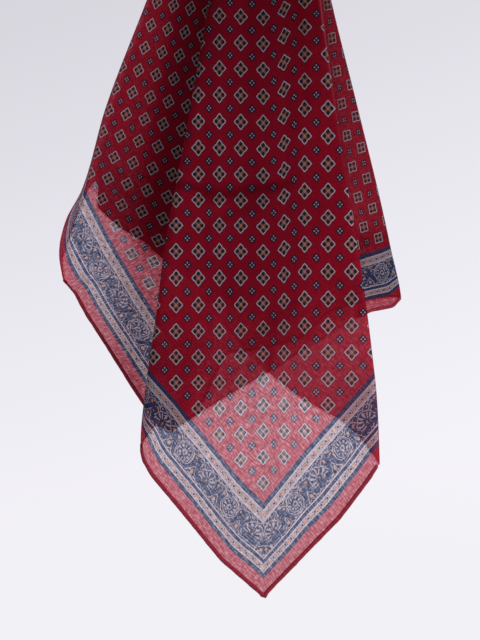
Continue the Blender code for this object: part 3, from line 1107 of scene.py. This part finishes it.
def makeCotton():
    material, tree = newMaterial("printedCotton")
    threadMap = uvMap(tree, "threads")
    a, b = parts(threadMap)[:2]
    plain = fieldInk(a, b)
    band, inBorder = borderInk(a, b)
    number = (choose(inBorder, plain, band) + 0.5) / len(inks)
    starts = [k / len(inks) for k in range(len(inks))]
    through, back = (ramp(number, list(zip(starts, colours))) for colours in zip(*inks.values()))

    # slubs along both sets of threads: thin places let more light through
    warp = slub(threadMap, weave["slubLong"], weave["slubFine"])
    weft = slub(threadMap, weave["slubFine"], weave["slubLong"])
    grain = warp.scaled(0.6, weft)
    haze = clouds(threadMap, weave["hazeScale"], 3.0) - 0.5
    hidden = attribute(tree, "hidden")
    inSight = 1.0 - hidden
    thin = (grain * weave["throughDepth"]).scaled(inSight, 1.0)
    thin = haze.scaled(weave["hazeThrough"], thin)
    through = blend(tree, "MIX", hidden * weave["hiddenPlain"], through, (*inks["ground"][0], 1))
    gap = (grain * weave["gapDepth"] * inSight).then("ADD", weave["gap"], clamp=True)
    through = blend(tree, "MIX", gap, through, weave["gapTint"])
    power = attribute(tree, "thick") + 1.0
    kept = 1 - weave["opaque"]
    seen = [part.then("POWER", power) * thin / kept for part in parts(through, "SeparateColor")]
    through = joined(*seen, kind="CombineColor")
    level = haze.scaled(weave["hazeBack"], grain.scaled(weave["backDepth"], 1.0))
    level = level * attribute(tree, "shade") * (weave["lampShare"] / weave["opaque"])
    covered = attribute(tree, "covered") * weave["coveredPlain"]
    back = blend(tree, "MIX", covered, back, (*inks["ground"][1], 1))
    colour = blend(tree, "MULTIPLY", 1.0, back, joined(level, level, level))
    # painted highlight: the colour turns pale along the front's folds
    colour = blend(tree, "MIX", attribute(tree, "foldHighlight"), colour, weave["foldHighlight"])
    cotton = tree.nodes["Principled BSDF"]
    feed(cotton, {
        "Base Color": colour, "Roughness": weave["roughness"], "Specular IOR Level": 0.0,
        "Sheen Weight": weave["sheen"], "Sheen Roughness": 0.6, "Sheen Tint": weave["sheenTint"],
        "Normal": bumped(grain, weave["bump"], 0.0004),
    })
    mixWithClear(tree, cotton, through, weave["opaque"])
    return material


hemFinish = {
    "colour": (0.135, 0.004, 0.013, 1),
    "worn": (0.21, 0.013, 0.026, 1),
    "thread": (0.09, 0.006, 0.014, 1),
    "through": (0.5, 0.2, 0.22, 1),
    "covered": (0.95, 0.9, 0.9, 1),
    "stitchShare": 0.16,
    "stitchDepth": 0.7,
    "opaque": 0.95,  # and how much less where it is hidden
    "hiddenLoss": 0.85,
}


def makeHemCotton():
    material, tree = newMaterial("hemCotton")
    rollMap = uvMap(tree, "roll")
    along, turn = parts(rollMap)[:2]
    slanted = turn.scaled(1.6, along)
    stitch = (slanted / hemRoll["stitchStep"]).then("FRACT") < hemFinish["stitchShare"]
    grain = clouds(rollMap, 0.6, 4.0)
    worn = grain.scaled(2.2, -0.9, clamp=True)
    colour = blend(tree, "MIX", worn, hemFinish["colour"], hemFinish["worn"])
    colour = blend(tree, "MIX", stitch * hemFinish["stitchDepth"], colour, hemFinish["thread"])
    cotton = tree.nodes["Principled BSDF"]
    feed(cotton, {
        "Base Color": colour, "Roughness": 0.9, "Specular IOR Level": 0.2, "Sheen Weight": 0.05,
        "Normal": bumped(stitch + grain, 0.5, 0.0003, invert=True),
    })
    hidden = attribute(tree, "hidden")
    through = blend(tree, "MIX", hidden, hemFinish["through"], hemFinish["covered"])
    opaque = hidden.scaled(-hemFinish["hiddenLoss"], hemFinish["opaque"])
    mixWithClear(tree, cotton, through, opaque)
    return material


printedCotton = makeCotton()
hemCotton = makeHemCotton()
scarfCloth.data.materials.append(printedCotton)
gatheredCorner.data.materials.append(printedCotton)
rolledHem.data.materials.append(hemCotton)
print("cotton printed")


# studio: a pale sweep all round, a pale floor far below and one broad soft lamp
studio = {
    # brightness of the sweep, from far below to overhead
    "sweep": [
        (0.0, 0.93), (0.2, 0.92), (0.3, 0.895), (0.38, 0.865), (0.48, 0.815), (0.59, 0.745), (0.7, 0.68),
    ],
    "lean": -0.3,  # it darkens a little to one side
    "start": 0.4,
    "low": (1.0, 0.988, 1.035, 1),
    "high": (1.0, 0.968, 1.07, 1),
    "floorDrop": 1.0,
    "floorSize": 40.0,
    "floor": (0.87, 0.86, 0.895, 1),
    "floorPaint": (0.12, 0.12, 0.12, 1),
    "floorGlow": 0.90,
    "floorFade": (1.6, 4.5),  # metres out from below the object
    "lampPlace": (1.1, -1.25, -0.3),
    "lampAim": (0, 0, -0.42),
    "lampSize": 0.9,
    "lampPower": 36.0,
}


def makeSweep():
    world = bpy.data.worlds.new("paleStudio")
    bpy.context.scene.world = world
    world.use_nodes = True
    tree = world.node_tree
    x, y, z = parts(Value(put(tree, "TexCoord").outputs["Generated"]))
    rise = x.scaled(studio["lean"], z).then("ADD", studio["start"], clamp=True)
    tint = blend(tree, "MIX", rise, studio["low"], studio["high"])
    sweep = blend(tree, "MULTIPLY", 1.0, ramp(rise, studio["sweep"], "LINEAR"), tint)
    feed(tree.nodes["Background"], {"Color": sweep})


def makeFloor():
    bm = bmesh.new()
    bmesh.ops.create_grid(bm, x_segments=1, y_segments=1, size=studio["floorSize"])
    bmesh.ops.translate(bm, verts=bm.verts, vec=(0, 0, -studio["floorDrop"]))
    floor = addPiece("paleFloor", bm)
    paint, tree = newMaterial("palePaint")
    shader = tree.nodes["Principled BSDF"]
    feed(shader, {
        "Base Color": studio["floorPaint"], "Roughness": 0.9, "Specular IOR Level": 0.1,
        "Emission Color": studio["floor"], "Emission Strength": studio["floorGlow"],
    })
    place = Value(put(tree, "TexCoord").outputs["Object"])
    away = put(tree, "VectorMath", operation="LENGTH")
    feed(away, {0: place})
    near, far = studio["floorFade"]
    fade = put(tree, "MapRange", interpolation_type="SMOOTHSTEP")
    fade = feed(fade, {0: Value(away.outputs["Value"]), "From Min": near, "From Max": far})
    mixWithClear(tree, shader, (1, 1, 1, 1), fade, clearLast=1)
    floor.data.materials.append(paint)


def makeLamp():
    lamp = bpy.data.lights.new("softLamp", "AREA")
    lamp.size = studio["lampSize"]
    lamp.energy = studio["lampPower"]
    holder = placeObject("softLamp", lamp, studio["lampPlace"])
    aim = Vector(studio["lampAim"]) - holder.location
    holder.rotation_euler = aim.to_track_quat("-Z", "Y").to_euler()


makeSweep()
makeFloor()
makeLamp()
bpy.context.scene.view_settings.view_transform = "Standard"
print("studio lit")

for piece in (scarfCloth, rolledHem, gatheredCorner):
    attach(piece, "root")
for piece, part in ((scarfCloth, "fall"), (rolledHem, "hem")):
    names = ["front", "inner", "inner_return", "right", "left", "back", "left_return"]
    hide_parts(*[name + "_" + part for name in names])
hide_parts("gathered_corner")
